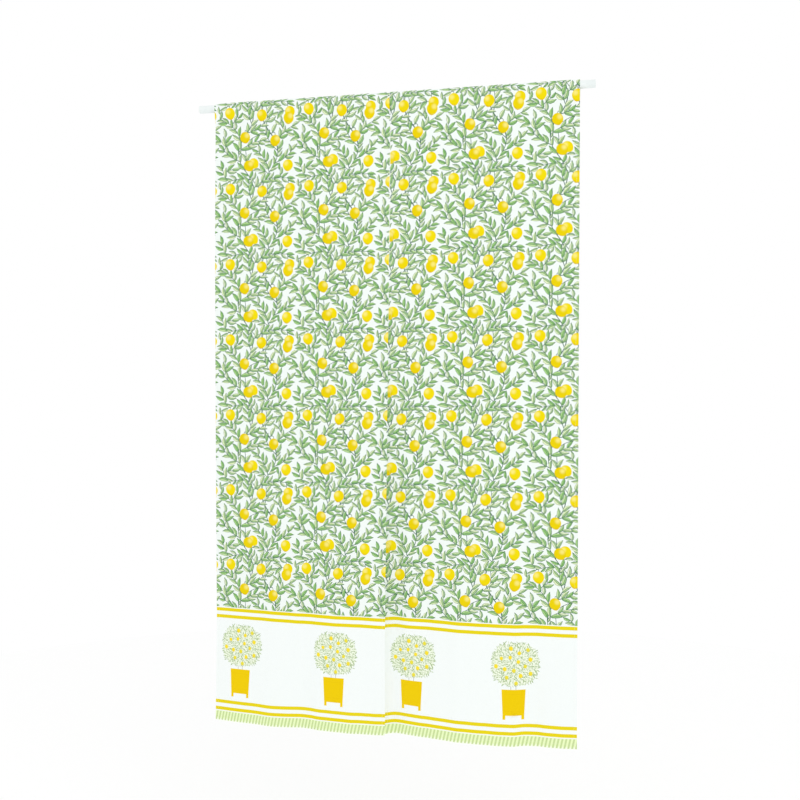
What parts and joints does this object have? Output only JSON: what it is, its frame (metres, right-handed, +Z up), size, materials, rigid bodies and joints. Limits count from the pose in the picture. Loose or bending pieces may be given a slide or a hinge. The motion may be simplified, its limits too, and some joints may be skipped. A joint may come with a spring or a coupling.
{
  "type": "noren curtain on its rod",
  "caption": "Split door curtain of printed cloth: tall panels hang side by side in soft folds from a plain round rod through sewn sleeves.",
  "frame": {"origin": "centre of the rod's left end face", "axes": "+X along the rod to the right, +Z up, and the printed face of the cloth looks towards -Y"},
  "size_m": [0.937, 0.0419, 1.486],
  "materials": {
    "printed_cloth": "plain-weave cloth printed with fruit and leaves on a white ground, matt",
    "rod_white": "white coating, satin"
  },
  "bodies": {
    "root": {"left_panel": "printed_cloth", "right_panel": "printed_cloth", "rod": "rod_white"}
  },
  "joints": []
}
